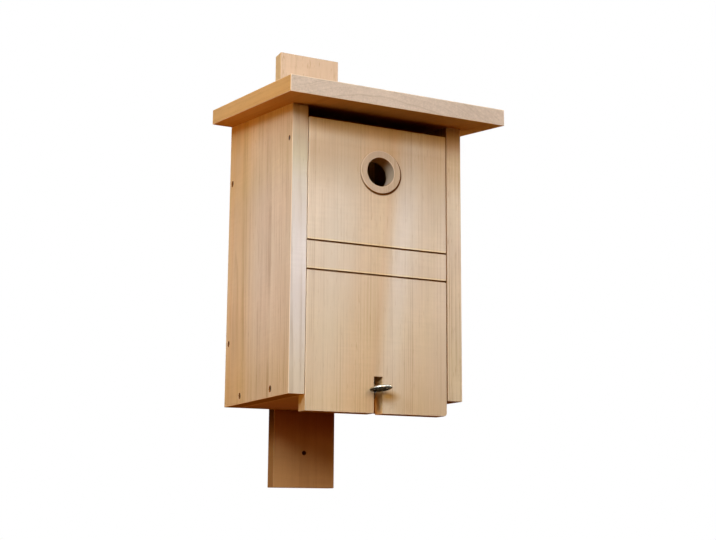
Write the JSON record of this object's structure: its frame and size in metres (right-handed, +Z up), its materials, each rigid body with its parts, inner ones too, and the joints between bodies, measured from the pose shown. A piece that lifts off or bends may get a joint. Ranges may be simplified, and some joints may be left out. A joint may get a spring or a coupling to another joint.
{
  "type": "wooden nest box with a hinged front",
  "caption": "Board nest box with a sloping roof, a round ringed entrance, a front that swings up, a screw-eye latch and a tall mounting board.",
  "frame": {"origin": "on the rear face of the mounting board, on its middle line, level with the underside of the box", "axes": "+X towards the box's left hand as it faces you, seen as right from the front; +Y from the front to the back; +Z up"},
  "size_m": [0.25, 0.272, 0.536],
  "materials": {
    "wall_wood": "satin",
    "roof_wood": "satin",
    "board_wood": "satin",
    "panel_wood": "satin",
    "ring_wood": "satin",
    "zinc_wire": "polished",
    "zinc_fixings": "satin"
  },
  "bodies": {
    "root": {"left_wall": "wall_wood", "right_wall": "wall_wood", "back_wall": "wall_wood", "floor_board": "wall_wood", "roof_board": "roof_wood", "mounting_board": "board_wood", "left_pivot_pin": "zinc_fixings", "right_pivot_pin": "zinc_fixings", "left_upper_back_screw": "zinc_fixings", "left_lower_back_screw": "zinc_fixings", "left_front_floor_screw": "zinc_fixings", "left_rear_floor_screw": "zinc_fixings", "right_upper_back_screw": "zinc_fixings", "right_lower_back_screw": "zinc_fixings", "right_front_floor_screw": "zinc_fixings", "right_rear_floor_screw": "zinc_fixings", "left_front_roof_screw": "zinc_fixings", "left_rear_roof_screw": "zinc_fixings", "right_front_roof_screw": "zinc_fixings", "right_rear_roof_screw": "zinc_fixings", "lower_mount_screw": "zinc_fixings", "upper_mount_screw": "zinc_fixings"},
    "front": {"front_panel": "panel_wood", "entrance_ring": "ring_wood"},
    "latch": {"latch_eye": "zinc_wire"}
  },
  "joints": [
    {"name": "front_swing", "type": "hinge", "parent": "root", "child": "front", "pos_m": [0, -0.209, 0.27], "axis": [-1, 0, 0], "range_deg": [0, 100]},
    {"name": "latch_turn", "type": "hinge", "parent": "root", "child": "latch", "pos_m": [-0.00275, -0.209, 0.00725], "axis": [0, -1, 0], "range_deg": [-95, 0]}
  ]
}
